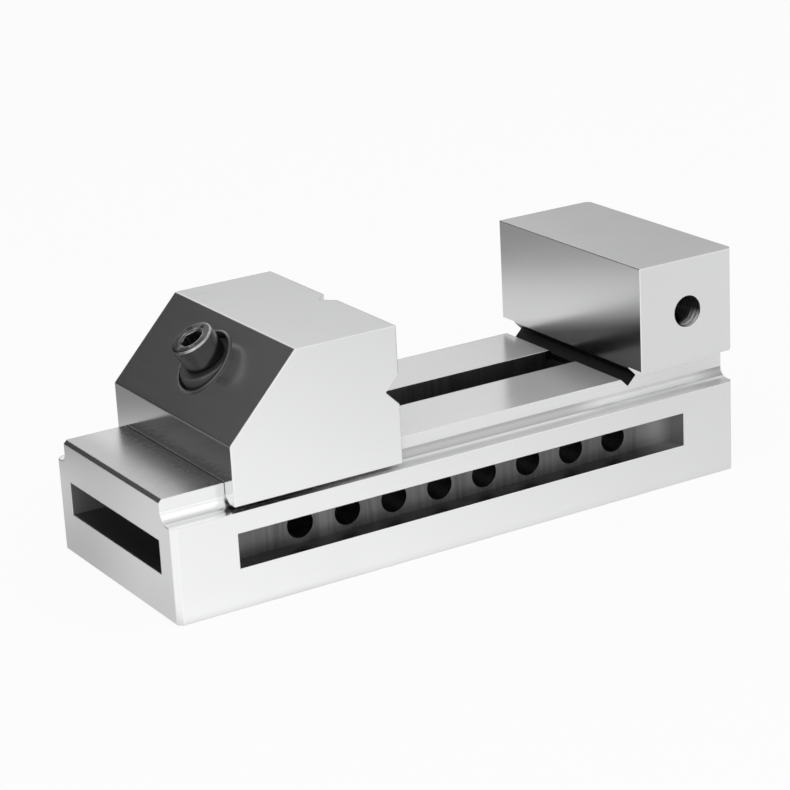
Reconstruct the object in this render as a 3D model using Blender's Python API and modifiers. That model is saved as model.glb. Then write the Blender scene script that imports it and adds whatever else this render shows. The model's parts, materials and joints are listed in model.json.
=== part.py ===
# Quick-acting machine vise: ground body with a fixed jaw, saddle jaw drawn down by a slanted screw.
# Metres, Z up. X runs from the open end to the fixed jaw, the front side faces -Y.
import math

import bmesh
import bpy
from mathutils import Matrix, Vector

mm = 0.001
runningGap = 0.3 * mm  # left between pieces that touch or slide

# Body and fixed jaw
bodyLength = 191.5 * mm
bodyWidth = 73 * mm
bedHeight = 35 * mm
jawRise = 35 * mm  # both jaws above the bed
railRise = 6.9 * mm  # bed above the flanges
ledgeWidth = 6.4 * mm  # flange beyond the rail on each side
railFillet = 3 * mm
cornerChamfer = 1.6 * mm
endChamfer = 1 * mm  # open end of the bed
edgeBevel = 0.2 * mm
squareEdge = math.radians(60)  # edges sharper than this are bevelled
slantEdge = math.radians(40)  # the same on the moving jaw, whose slanted face is less square
fixedJawLength = 34.6 * mm
overhangRise = 3.3 * mm  # underside of the fixed jaw's wings above the bed
undercutWidth = 4.2 * mm
undercutDepth = 3.6 * mm

# Clamp pockets along both sides and slots in both ends
sidePocketStart = 19.8 * mm
sidePocketLength = 152.3 * mm
sidePocketBottom = 11.8 * mm
sidePocketHeight = 10.3 * mm
sidePocketDepth = 6.4 * mm
endSlotWidth = 56.4 * mm
endSlotBottom = 12.7 * mm
endSlotHeight = 10 * mm
endSlotDepth = 11.4 * mm

# Row of cross holes whose upper halves are the seats of the nut
seatPitch = 15.4 * mm
firstSeat = 42.6 * mm  # from the open end
lastSeatRoom = 5 * mm  # at least this far from the fixed jaw
seatDepth = 17.7 * mm  # below the bed
seatRadius = 4.2 * mm
guideSlotWidth = 14 * mm
channelWidth = 32 * mm
endMargin = 0.7 * mm  # channel beyond the last seat and behind the keeper

# Tapped hole for a work stop in the front of the fixed jaw
stopHoleRadius = 4.85 * mm
stopHoleDepth = 16 * mm
stopHoleFromEnd = 17.3 * mm
stopHoleRise = 18.7 * mm

# Moving jaw
movingJawLength = 53.9 * mm
seatAhead = 38 * mm  # the seat in use, from the rear of the jaw as posed at rest
jawInset = 1.1 * mm  # each side narrower than the body
slantRun = 21.9 * mm
slantFootRise = 11.8 * mm
skirtLift = 1.2 * mm
skirtChamfer = 2.2 * mm
sideVWidth = 8.5 * mm
sideVRise = 16.2 * mm
endVWidth = 8 * mm
tongueRear = 17 * mm  # from the rear of the jaw
tongueStep = 25 * mm
tongueFront = 4.9 * mm  # behind the clamp face
tongueRoom = 1.3 * mm  # above the nut when it is seated

# Pull-down screw, M8, with its swivel seat
swivelAlong = 17.4 * mm  # up the slanted face
swivelDepth = 3.4 * mm  # below that face
collarRadius = 10.2 * mm  # rim around the seat
collarHeight = 0.6 * mm
collarChamfer = 0.2 * mm
ballRadius = 9.35 * mm
washerRise = 3.75 * mm  # top of the washer above the swivel
washerDrop = 3 * mm
screwRadius = 4 * mm
screwLength = 60 * mm  # below the head
tipChamfer = 0.8 * mm
headRadius = 6.4 * mm
headHeight = 8 * mm
headChamfer = 0.5 * mm
socketWidth = 6 * mm  # across the flats
socketDepth = 4 * mm
tiltRange = math.radians(6)
tiltMargin = math.radians(1.5)
seatInUse = 1  # the screw points at this seat

# Cross nut
barrelRadius = 6 * mm
nutEndGap = 0.4 * mm
nutDrop = 0.35 * mm  # below the channel ceiling
trunnionGap = 0.2 * mm
nutChamfer = 0.5 * mm

# Keeper plate below the bed and its two screws
keeperFront = 25.6 * mm  # from the rear of the jaw
keeperLength = 14 * mm
keeperThickness = 4 * mm
keeperDrop = 0.4 * mm  # below the channel ceiling
keeperSideGap = 0.6 * mm
keeperScrewRadius = 1.5 * mm
keeperScrewLength = 8 * mm
keeperScrewSpacing = 6.6 * mm
keeperHeadRadius = 2.75 * mm
keeperHeadHeight = 2 * mm
keeperSocketWidth = 2 * mm
keeperSocketDepth = 1.2 * mm
keeperScrewFromRear = 20.5 * mm
keeperTipRoom = 1.3 * mm

# Places worked out from the sizes above
openEnd = -bodyLength / 2
halfWidth = bodyWidth / 2
railHalf = halfWidth - ledgeWidth
fixedFace = bodyLength / 2 - fixedJawLength
flangeHeight = bedHeight - railRise
jawTop = bedHeight + jawRise
jawHalf = halfWidth - jawInset
seatHeight = bedHeight - seatDepth
seatCount = int((fixedFace - openEnd - firstSeat - lastSeatRoom) / seatPitch) + 1
seatXs = [openEnd + firstSeat + seatPitch * i for i in range(seatCount)]
jawRear = seatXs[seatInUse] - seatAhead
jawFace = jawRear + movingJawLength
openTravel = seatPitch
channelStart = jawRear + keeperFront - keeperLength - openTravel - endMargin
channelEnd = seatXs[-1] + seatRadius + endMargin
slotStart = jawRear + endMargin
slantAngle = math.atan2(jawRise - slantFootRise, slantRun)
slantUp = Vector((math.cos(slantAngle), 0, math.sin(slantAngle)))
slantOut = Vector((-math.sin(slantAngle), 0, math.cos(slantAngle)))
slantFoot = Vector((jawRear, 0, bedHeight + slantFootRise))
swivel = slantFoot + slantUp * swivelAlong - slantOut * swivelDepth
headSeat = washerRise + runningGap
screwAngle = math.atan2(swivel.z - seatHeight, seatXs[seatInUse] - swivel.x)
trunnionRadius = seatRadius - trunnionGap
nutHeight = seatHeight - trunnionRadius - nutDrop
nutDistance = (swivel.z - nutHeight) / math.sin(screwAngle)
keeperTop = seatHeight - keeperDrop
tongueBottom = keeperTop + runningGap
tongueFrontBottom = seatHeight + barrelRadius + tongueRoom
keeperBottom = keeperTop - keeperThickness
keeperMiddle = jawRear + keeperFront - keeperLength / 2
keeperScrewX = jawRear + keeperScrewFromRear
farOut = bodyLength  # cutters reach this far where they run out


def clearScene():
    for thing in list(bpy.data.objects):
        bpy.data.objects.remove(thing, do_unlink=True)
    for group in list(bpy.data.collections):
        bpy.data.collections.remove(group)


def makeCollection(name):
    group = bpy.data.collections.new(name)
    bpy.context.scene.collection.children.link(group)
    return group


def steel(name, colour, roughness):
    material = bpy.data.materials.new(name)
    material.use_nodes = True
    shader = material.node_tree.nodes["Principled BSDF"]
    shader.inputs["Base Color"].default_value = (*colour, 1)
    shader.inputs["Roughness"].default_value = roughness
    shader.inputs["Metallic"].default_value = 1
    return material


def addMesh(name, bm, group):
    mesh = bpy.data.meshes.new(name)
    bmesh.ops.recalc_face_normals(bm, faces=bm.faces)
    bm.to_mesh(mesh)
    bm.free()
    thing = bpy.data.objects.new(name, mesh)
    group.objects.link(thing)
    return thing


def markCutter(thing):
    thing.hide_render = True
    thing.display_type = "WIRE"
    return thing


def box(name, lower, upper, group):
    lower, upper = Vector(lower), Vector(upper)
    size = upper - lower
    bm = bmesh.new()
    place = Matrix.Translation((lower + upper) / 2) @ Matrix.Diagonal((*size, 1))
    bmesh.ops.create_cube(bm, size=1, matrix=place)
    return addMesh(name, bm, group)


def cylinders(name, radius, length, places, group, segments=32):
    bm = bmesh.new()
    for place in places:
        bmesh.ops.create_cone(bm, cap_ends=True, segments=segments, radius1=radius, radius2=radius,
                              depth=length, matrix=place)
    return addMesh(name, bm, group)


def outlineSolid(name, points, width, group, alongX=False):
    # An outline in X and Z carried across Y, or one in Y and Z carried along X
    curve = bpy.data.curves.new(name, "CURVE")
    curve.dimensions = "2D"
    curve.fill_mode = "BOTH"
    curve.extrude = width / 2
    spline = curve.splines.new("POLY")
    spline.points.add(len(points) - 1)
    for point, (across, up) in zip(spline.points, points):
        point.co = (across, up, 0, 1)
    spline.use_cyclic_u = True
    drawn = bpy.data.objects.new(name, curve)
    drawn.rotation_euler = (math.pi / 2, 0, math.pi / 2 if alongX else 0)
    group.objects.link(drawn)
    bpy.context.view_layer.update()
    seen = drawn.evaluated_get(bpy.context.evaluated_depsgraph_get())
    mesh = bpy.data.meshes.new_from_object(seen)
    mesh.transform(drawn.matrix_world)
    bpy.data.objects.remove(drawn)
    bpy.data.curves.remove(curve)
    bm = bmesh.new()
    bm.from_mesh(mesh)
    bpy.data.meshes.remove(mesh)
    bmesh.ops.remove_doubles(bm, verts=bm.verts, dist=0.00001)
    return addMesh(name, bm, group)


def turned(name, profile, group, steps=32):
    # Profile points are radius and height, from the top of the piece down to its bottom
    mesh = bpy.data.meshes.new(name)
    mesh.from_pydata([(radius, 0, height) for radius, height in profile],
                     [(i, i + 1) for i in range(len(profile) - 1)], [])
    thing = bpy.data.objects.new(name, mesh)
    group.objects.link(thing)
    spin = thing.modifiers.new("turn", "SCREW")
    spin.steps = steps
    spin.render_steps = steps
    spin.use_merge_vertices = True
    spin.merge_threshold = 0.00001
    return thing


def cut(thing, cutter):
    trim = thing.modifiers.new(cutter.name, "BOOLEAN")
    trim.operation = "DIFFERENCE"
    trim.solver = "EXACT"
    trim.object = markCutter(cutter)


def add(thing, other):
    weld = thing.modifiers.new(other.name, "BOOLEAN")
    weld.operation = "UNION"
    weld.solver = "EXACT"
    weld.object = markCutter(other)


def bevelEdges(thing, width, sharperThan=squareEdge):
    bevel = thing.modifiers.new("edge bevel", "BEVEL")
    bevel.width = width
    bevel.segments = 1
    bevel.limit_method = "ANGLE"
    bevel.angle_limit = sharperThan


def smoothRound(thing):
    mesh = thing.data
    mesh.shade_smooth()
    mesh.set_sharp_from_angle(angle=math.radians(35))


def arcPoints(centre, radius, start, end, count=6):
    steps = [start + (end - start) * i / count for i in range(count + 1)]
    return [(centre[0] + radius * math.cos(a), centre[1] + radius * math.sin(a)) for a in steps]


def alongScrew(distance, tilt=0):
    # Place on the screw's axis below the swivel, turned so that Z points up the axis
    angle = screwAngle + tilt
    down = Vector((math.cos(angle), 0, -math.sin(angle)))
    return Matrix.Translation(swivel + down * distance) @ Matrix.Rotation(angle - math.pi / 2, 4, "Y")


def onSlant(height):
    # Place above the swivel, with Z square to the slanted face
    return Matrix.Translation(swivel + slantOut * height) @ Matrix.Rotation(-slantAngle, 4, "Y")


def hexagonRadius(acrossFlats):
    return acrossFlats / 2 / math.cos(math.pi / 6)


def bodyOutline():
    step = undercutWidth / math.sqrt(2)
    sink = undercutDepth / math.sqrt(2)
    lip = (fixedFace - step, bedHeight)
    bottom = (lip[0] + sink, lip[1] - sink)
    inner = (bottom[0] + step, bottom[1] + step)
    face = (fixedFace, inner[1] + inner[0] - fixedFace)
    return [(openEnd, 0), (-openEnd, 0), (-openEnd, jawTop), (fixedFace, jawTop), face, inner, bottom, lip,
            (openEnd + endChamfer, bedHeight), (openEnd, bedHeight - endChamfer)]


def cutRailSides(body, cutters):
    # Both sides above the flange, with the fillet at the foot of the rail
    roof = bedHeight + overhangRise
    for side in (-1, 1):
        centre = (railHalf + railFillet, flangeHeight + railFillet)
        foot = arcPoints(centre, railFillet, math.pi, 1.5 * math.pi)
        outline = [(railHalf, roof), *foot, (farOut, flangeHeight), (farOut, roof)]
        mirrored = [(side * across, up) for across, up in outline]
        cut(body, outlineSolid(f"rail side {side}", mirrored, 2 * farOut, cutters, alongX=True))


def cutCorners(body, cutters):
    for end in (-1, 1):
        for side in (-1, 1):
            corner = box(f"corner {end} {side}", (-cornerChamfer / math.sqrt(2), -farOut, -farOut),
                         (cornerChamfer / math.sqrt(2), farOut, farOut), cutters)
            corner.location = (end * bodyLength / 2, side * halfWidth, 0)
            corner.rotation_euler.z = end * side * math.pi / 4
            cut(body, corner)


def cutClampPockets(body, cutters):
    left = openEnd + sidePocketStart
    top = sidePocketBottom + sidePocketHeight
    for side in (-1, 1):
        inner = side * (halfWidth - sidePocketDepth)
        outer = side * farOut
        cut(body, box(f"side pocket {side}", (left, min(inner, outer), sidePocketBottom),
                      (left + sidePocketLength, max(inner, outer), top), cutters))
    for end in (-1, 1):
        inner = end * (bodyLength / 2 - endSlotDepth)
        outer = end * farOut
        cut(body, box(f"end slot {end}", (min(inner, outer), -endSlotWidth / 2, endSlotBottom),
                      (max(inner, outer), endSlotWidth / 2, endSlotBottom + endSlotHeight), cutters))


def cutNutWay(body, cutters):
    cut(body, box("channel", (channelStart, -channelWidth / 2, -farOut),
                  (channelEnd, channelWidth / 2, seatHeight), cutters))
    cut(body, box("guide slot", (slotStart, -guideSlotWidth / 2, seatHeight - seatRadius),
                  (channelEnd, guideSlotWidth / 2, bedHeight + overhangRise), cutters))
    across = Matrix.Rotation(math.pi / 2, 4, "X")
    places = [Matrix.Translation((x, 0, seatHeight)) @ across for x in seatXs]
    cut(body, cylinders("nut seats", seatRadius, bodyWidth, places, cutters))


def cutStopHole(body, cutters):
    place = Matrix.Translation((-openEnd - stopHoleFromEnd, -halfWidth, bedHeight + stopHoleRise))
    cut(body, cylinders("stop hole", stopHoleRadius, 2 * stopHoleDepth,
                        [place @ Matrix.Rotation(math.pi / 2, 4, "X")], cutters))


def makeBody(parts, cutters):
    body = outlineSolid("vise_body", bodyOutline(), bodyWidth, parts)
    bevelEdges(body, edgeBevel)
    cutRailSides(body, cutters)
    cutCorners(body, cutters)
    cutClampPockets(body, cutters)
    cutNutWay(body, cutters)
    cutStopHole(body, cutters)
    body.data.materials.append(steel("ground steel body", (0.73, 0.73, 0.72), 0.27))
    return body


def jawOutline():
    skirtBottom = flangeHeight + skirtLift
    groove = bedHeight + sideVRise
    return [(jawRear, skirtBottom), (jawFace, skirtBottom), (jawFace, groove - sideVWidth / 2),
            (jawFace - sideVWidth / 2, groove), (jawFace, groove + sideVWidth / 2), (jawFace, jawTop),
            (jawRear + slantRun, jawTop), (jawRear, bedHeight + slantFootRise)]


def tongueOutline():
    root = bedHeight + slantFootRise / 2
    return [(jawRear + tongueRear, tongueBottom), (jawRear + tongueStep, tongueBottom),
            (jawRear + tongueStep, tongueFrontBottom), (jawFace - tongueFront, tongueFrontBottom),
            (jawFace - tongueFront, root), (jawRear + tongueRear, root)]


def cutSaddle(jaw, cutters):
    inner = railHalf + runningGap
    roof = bedHeight + runningGap
    bottom = flangeHeight + skirtLift
    flare = inner + skirtChamfer
    half = [(inner, roof), (inner, bottom + skirtChamfer), (flare, bottom), (flare, 0)]
    outline = half + [(-across, up) for across, up in reversed(half)]
    cut(jaw, outlineSolid("saddle", outline, 2 * farOut, cutters, alongX=True))


def cutEndGroove(jaw, cutters):
    side = endVWidth / math.sqrt(2) / 2
    groove = box("end groove", (-side, -side, bedHeight), (side, side, jawTop + jawRise), cutters)
    groove.location.x = jawFace
    groove.rotation_euler.z = math.pi / 4
    cut(jaw, groove)


def addCollar(jaw, cutters):
    profile = [(0, collarHeight), (collarRadius - collarChamfer, collarHeight),
               (collarRadius, collarHeight - collarChamfer), (collarRadius, -collarHeight),
               (0, -collarHeight)]
    collar = turned("seat collar", profile, cutters, 48)
    collar.matrix_world = onSlant(swivelDepth)
    add(jaw, collar)


def cutSwivelSeat(jaw, cutters):
    radius = ballRadius + runningGap
    top = 2 * (swivelDepth + collarHeight)
    bowl = arcPoints((0, 0), radius, 0, -math.pi / 2, 8)
    seat = turned("swivel seat", [(0, top), (radius, top), *bowl], cutters)
    seat.matrix_world = onSlant(0)
    cut(jaw, seat)


def cutTiltSlot(jaw, cutters):
    bm = bmesh.new()
    for tilt in (-tiltMargin, tiltRange + tiltMargin):
        bmesh.ops.create_cone(bm, segments=32, radius1=screwRadius + runningGap,
                              radius2=screwRadius + runningGap, depth=screwLength,
                              matrix=alongScrew(screwLength / 2, tilt))
    bmesh.ops.delete(bm, geom=bm.edges[:], context="EDGES_FACES")
    hull = bmesh.ops.convex_hull(bm, input=bm.verts)
    bmesh.ops.delete(bm, geom=hull["geom_interior"], context="VERTS")
    cut(jaw, addMesh("tilt slot", bm, cutters))


def keeperScrewPlace(side, height):
    return Matrix.Translation((keeperScrewX, side * keeperScrewSpacing / 2, height))


def keeperScrewPlaces(height):
    return [keeperScrewPlace(side, height) for side in (-1, 1)]


def makeMovingJaw(parts, cutters):
    jaw = outlineSolid("moving_jaw", jawOutline(), 2 * jawHalf, parts)
    bevelEdges(jaw, edgeBevel, slantEdge)
    cutSaddle(jaw, cutters)
    tongue = outlineSolid("guide tongue", tongueOutline(), guideSlotWidth - 2 * runningGap, cutters)
    add(jaw, tongue)
    cutEndGroove(jaw, cutters)
    addCollar(jaw, cutters)
    cutSwivelSeat(jaw, cutters)
    cutTiltSlot(jaw, cutters)
    reach = keeperScrewLength - keeperThickness + keeperHeadHeight + keeperTipRoom
    cut(jaw, cylinders("tongue holes", keeperScrewRadius + runningGap, 2 * reach,
                       keeperScrewPlaces(tongueBottom), cutters, 16))
    jaw.data.materials.append(steel("ground steel jaw", (0.71, 0.71, 0.70), 0.27))
    return jaw


def makeKeeper(parts, cutters):
    half = channelWidth / 2 - keeperSideGap
    plate = box("keeper_plate", (keeperMiddle - keeperLength / 2, -half, keeperBottom),
                (keeperMiddle + keeperLength / 2, half, keeperTop), parts)
    bevelEdges(plate, edgeBevel)
    cut(plate, cylinders("keeper holes", keeperScrewRadius + runningGap, 4 * keeperThickness,
                         keeperScrewPlaces(keeperTop), cutters, 16))
    cut(plate, cylinders("keeper head holes", keeperHeadRadius + runningGap,
                         2 * (keeperHeadHeight + runningGap), keeperScrewPlaces(keeperBottom), cutters, 24))
    plate.data.materials.append(steel("dark steel plate", (0.30, 0.30, 0.31), 0.42))
    return plate


def makeKeeperScrew(name, side, parts, cutters):
    seat = keeperBottom + keeperHeadHeight
    screw = cylinders(name, keeperHeadRadius, keeperHeadHeight,
                      [keeperScrewPlace(side, seat - keeperHeadHeight / 2)], parts, 24)
    root = keeperHeadHeight / 2
    shank = cylinders(f"shank of {name}", keeperScrewRadius, keeperScrewLength + root,
                      [keeperScrewPlace(side, seat + (keeperScrewLength - root) / 2)], cutters, 16)
    add(screw, shank)
    cut(screw, cylinders(f"socket of {name}", hexagonRadius(keeperSocketWidth),
                         2 * keeperSocketDepth, [keeperScrewPlace(side, keeperBottom)], cutters, 6))
    screw.data.materials.append(steel("black keeper screws", (0.05, 0.05, 0.055), 0.4))
    return screw


def makeKeeperScrews(parts, cutters):
    names = ("keeper_screw_front", "keeper_screw_back")
    return [makeKeeperScrew(name, side, parts, cutters) for name, side in zip(names, (-1, 1))]


def makeWasher(parts, cutters):
    high, low = math.asin(washerRise / ballRadius), -math.asin(washerDrop / ballRadius)
    ball = arcPoints((0, 0), ballRadius, high, low, 8)
    bore = screwRadius + runningGap
    profile = [(bore, washerRise), *ball, (bore, -washerDrop), (bore, washerRise)]
    washer = turned("swivel_washer", profile, parts)
    washer.data.materials.append(steel("grey steel washer", (0.42, 0.42, 0.42), 0.3))
    return washer


def makeScrew(parts, cutters):
    top = headSeat + headHeight
    tip = headSeat - screwLength
    profile = [(0, top), (headRadius - headChamfer, top), (headRadius, top - headChamfer),
               (headRadius, headSeat), (screwRadius, headSeat), (screwRadius, tip + tipChamfer),
               (screwRadius - tipChamfer, tip), (0, tip)]
    screw = turned("pull_down_screw", profile, parts)
    sockets = cylinders("hexagon socket", hexagonRadius(socketWidth), 2 * socketDepth,
                        [alongScrew(-top)], cutters, 6)
    cut(screw, sockets)
    screw.data.materials.append(steel("black oxide screw", (0.06, 0.06, 0.065), 0.32))
    return screw


def makeNut(parts, cutters):
    halfBarrel = guideSlotWidth / 2 - nutEndGap
    halfLength = channelWidth / 2 - nutEndGap
    step, tip = barrelRadius - nutChamfer, trunnionRadius - nutChamfer
    half = [(tip, halfLength), (trunnionRadius, halfLength - nutChamfer), (trunnionRadius, halfBarrel),
            (step, halfBarrel), (barrelRadius, halfBarrel - nutChamfer)]
    profile = [(0, halfLength), *half, *[(r, -h) for r, h in reversed(half)], (0, -halfLength)]
    nut = turned("cross_nut", profile, parts)
    nut.rotation_euler.x = math.pi / 2
    nut.location.z = -nutDistance
    cut(nut, cylinders("nut thread hole", screwRadius + runningGap, 4 * barrelRadius,
                       [alongScrew(nutDistance)], cutters))
    nut.data.materials.append(steel("steel cross nut", (0.38, 0.38, 0.38), 0.35))
    return nut


def addEmpty(name, group, parent=None):
    point = bpy.data.objects.new(name, None)
    point.empty_display_size = 0.01
    point.parent = parent
    group.objects.link(point)
    return point


def build():
    clearScene()
    parts = makeCollection("quick_acting_vise")
    cutters = makeCollection("cutters")
    makeBody(parts, cutters)
    carriage = addEmpty("jaw slide", parts)
    tilter = addEmpty("screw swivel", parts, carriage)
    tilter.matrix_world = alongScrew(0)
    sliding = [makeMovingJaw(parts, cutters), makeKeeper(parts, cutters), *makeKeeperScrews(parts, cutters)]
    for piece in sliding:
        piece.parent = carriage
    for piece in (makeWasher(parts, cutters), makeScrew(parts, cutters), makeNut(parts, cutters)):
        piece.parent = tilter
        smoothRound(piece)
    print("vise built, screw at", round(math.degrees(screwAngle), 1), "degrees")


build()
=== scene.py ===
# Quick-acting machine vise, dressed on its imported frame. Metres, Z up, the front side faces -Y.
import json
import math

import bmesh
import bpy
from mathutils import Matrix, Vector


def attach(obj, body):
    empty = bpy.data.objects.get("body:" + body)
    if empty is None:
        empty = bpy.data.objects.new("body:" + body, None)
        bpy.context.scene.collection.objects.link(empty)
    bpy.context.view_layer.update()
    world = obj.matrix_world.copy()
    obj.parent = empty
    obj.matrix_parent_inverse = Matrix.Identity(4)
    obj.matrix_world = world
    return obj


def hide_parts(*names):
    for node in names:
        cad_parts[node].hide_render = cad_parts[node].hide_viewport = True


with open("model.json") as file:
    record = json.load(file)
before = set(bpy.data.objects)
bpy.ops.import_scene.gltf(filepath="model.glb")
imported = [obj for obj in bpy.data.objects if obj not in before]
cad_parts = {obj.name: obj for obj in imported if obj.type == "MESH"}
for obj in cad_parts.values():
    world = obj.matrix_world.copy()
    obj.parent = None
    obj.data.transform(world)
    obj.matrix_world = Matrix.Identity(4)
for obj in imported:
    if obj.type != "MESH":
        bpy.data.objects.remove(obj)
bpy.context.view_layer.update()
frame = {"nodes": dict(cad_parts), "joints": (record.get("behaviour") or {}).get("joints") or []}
mm = 0.001
nodes = frame["nodes"]
joints = {joint["name"]: joint for joint in frame["joints"]}
print("frame loaded, pieces:", ", ".join(sorted(nodes)))


# Small helpers for shader trees: every value may be a number or another node's output

def plug(tree, socket, value):
    if isinstance(value, bpy.types.NodeSocket):
        tree.links.new(value, socket)
    else:
        socket.default_value = value


def calc(tree, operation, *values):
    node = tree.nodes.new("ShaderNodeMath")
    node.operation = operation
    for socket, value in zip(node.inputs, values):
        plug(tree, socket, value)
    return node.outputs[0]


def vectorCalc(tree, operation, *values):
    node = tree.nodes.new("ShaderNodeVectorMath")
    node.operation = operation
    for socket, value in zip(node.inputs, values):
        plug(tree, socket, value)
    return node.outputs["Value" if operation == "DOT_PRODUCT" else "Vector"]


def parts(tree, vector):
    node = tree.nodes.new("ShaderNodeSeparateXYZ")
    plug(tree, node.inputs[0], vector)
    return node.outputs[:]


def rise(tree, value, start, end, low=0.0, high=1.0):
    # Goes smoothly from low to high as the value goes from start to end
    node = tree.nodes.new("ShaderNodeMapRange")
    node.interpolation_type = "SMOOTHSTEP"
    limits = {"From Min": start, "From Max": end, "To Min": low, "To Max": high}
    for name, given in {"Value": value, **limits}.items():
        plug(tree, node.inputs[name], given)
    return node.outputs[0]


def between(tree, factor, low, high):
    node = tree.nodes.new("ShaderNodeMix")
    for name, given in (("Factor_Float", factor), ("A_Float", low), ("B_Float", high)):
        plug(tree, next(s for s in node.inputs if s.identifier == name), given)
    return node.outputs[0]


def tint(tree, factor, low, high, way="MIX"):
    node = tree.nodes.new("ShaderNodeMix")
    node.data_type = "RGBA"
    node.blend_type = way
    for name, given in (("Factor_Float", factor), ("A_Color", low), ("B_Color", high)):
        plug(tree, next(s for s in node.inputs if s.identifier == name), given)
    return next(s for s in node.outputs if s.identifier == "Result_Color")


def grain(tree, where, scale, detail=2.0):
    # Noise from 0 to 1; a scale of three numbers stretches it
    stretched = vectorCalc(tree, "MULTIPLY", where, scale if isinstance(scale, tuple) else (scale,) * 3)
    node = tree.nodes.new("ShaderNodeTexNoise")
    plug(tree, node.inputs["Vector"], stretched)
    node.inputs["Scale"].default_value = 1
    node.inputs["Detail"].default_value = detail
    return node.outputs[0]


def brushed(tree, where, scale, detail):
    # Noise drawn out along its least scaled axis; the slip keeps its cells from lining up in a seam
    stretched = vectorCalc(tree, "MULTIPLY", where, scale)
    axis = scale.index(min(scale))
    sideways = tuple(0.0 if i == axis else 0.37 for i in range(3))
    lengthwise = tuple(1.0 if i == axis else 0.0 for i in range(3))
    slip = vectorCalc(tree, "MULTIPLY", vectorCalc(tree, "DOT_PRODUCT", stretched, sideways), lengthwise)
    return grain(tree, vectorCalc(tree, "ADD", stretched, slip), 1.0, detail)


def insideBox(tree, where, lower, upper):
    # 1 inside the box, 0 outside; the corners are in millimetres
    middle = tuple((a + b) / 2 * mm for a, b in zip(lower, upper))
    half = tuple((b - a) / 2 * mm for a, b in zip(lower, upper))
    away = vectorCalc(tree, "SUBTRACT", where, middle)
    beyond = parts(tree, vectorCalc(tree, "SUBTRACT", vectorCalc(tree, "ABSOLUTE", away), half))
    return calc(tree, "LESS_THAN", calc(tree, "MAXIMUM", calc(tree, "MAXIMUM", *beyond[:2]), beyond[2]), 0)


def length(tree, across, along):
    squares = [calc(tree, "MULTIPLY", value, value) for value in (across, along)]
    return calc(tree, "POWER", calc(tree, "ADD", *squares), 0.5)


def grey(level):
    return (level, level, level, 1)


def stepsAlong(tree, value, stops):
    # A level that follows stops of (place in mm, level), smooth between them
    first, last = stops[0][0], stops[-1][0]
    ramp = tree.nodes.new("ShaderNodeValToRGB")
    ramp.color_ramp.interpolation = "EASE"
    while len(ramp.color_ramp.elements) < len(stops):
        ramp.color_ramp.elements.new(0.5)
    for element, (place, level) in zip(ramp.color_ramp.elements, stops):
        element.position = (place - first) / (last - first)
        element.color = grey(level)
    share = calc(tree, "DIVIDE", calc(tree, "SUBTRACT", value, first * mm), (last - first) * mm)
    plug(tree, ramp.inputs[0], share)
    return ramp.outputs["Color"]


# Steel finishes

def newFinish(name):
    material = bpy.data.materials.new(name)
    material.use_nodes = True
    return material, material.node_tree, material.node_tree.nodes["Principled BSDF"]


def wornEdges(tree, radius):
    # Rounded normal near edges, and how near an edge the point is
    soft = tree.nodes.new("ShaderNodeBevel")
    soft.samples = 6
    plug(tree, soft.inputs["Radius"], radius)
    flat = tree.nodes.new("ShaderNodeNewGeometry").outputs["Normal"]
    turn = vectorCalc(tree, "DOT_PRODUCT", soft.outputs[0], flat)
    return soft.outputs[0], rise(tree, turn, 0.999, 0.93)


def addBump(tree, shader, height, depth, normal=None):
    bump = tree.nodes.new("ShaderNodeBump")
    bump.inputs["Strength"].default_value = 1
    bump.inputs["Distance"].default_value = depth
    plug(tree, bump.inputs["Height"], height)
    if normal is not None:
        plug(tree, bump.inputs["Normal"], normal)
    plug(tree, shader.inputs["Normal"], bump.outputs[0])


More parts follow.
